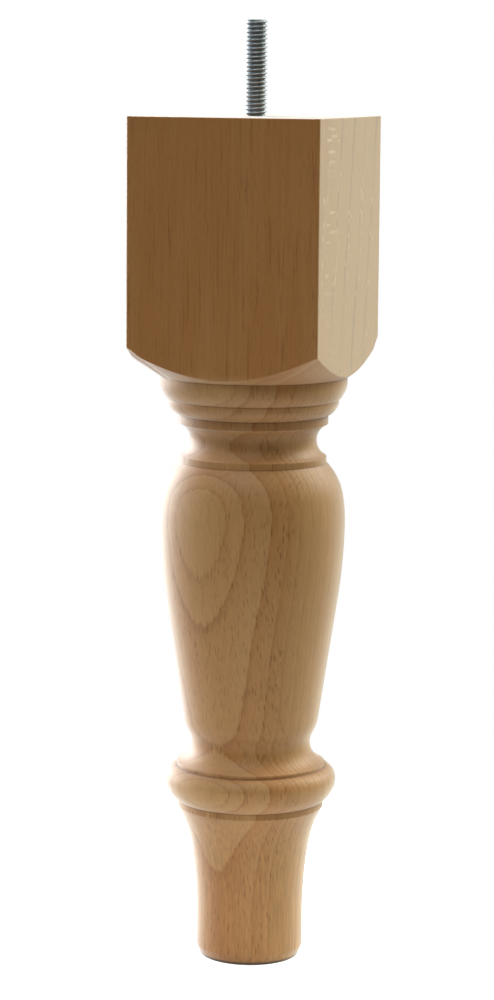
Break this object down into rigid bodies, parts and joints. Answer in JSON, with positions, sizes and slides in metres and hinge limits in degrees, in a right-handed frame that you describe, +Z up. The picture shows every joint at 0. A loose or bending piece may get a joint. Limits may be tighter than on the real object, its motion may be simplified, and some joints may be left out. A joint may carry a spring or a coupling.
{
  "type": "wooden furniture leg",
  "caption": "Turned wooden furniture leg with a square block, ringed neck, vase, bead and flared foot, and a threaded hanger bolt in its top for screwing into furniture.",
  "frame": {"origin": "centre of the foot's flat underside, on the floor", "axes": "+Z up the turning axis, towards the block and the stud; X and Y square to the block's faces"},
  "size_m": [0.06, 0.06, 0.2867],
  "materials": {
    "beech": "raw, finely sanded",
    "zinc_plated_steel": "zinc plated"
  },
  "bodies": {
    "root": {"wood_leg": "beech", "hanger_bolt": "zinc_plated_steel"}
  },
  "joints": []
}
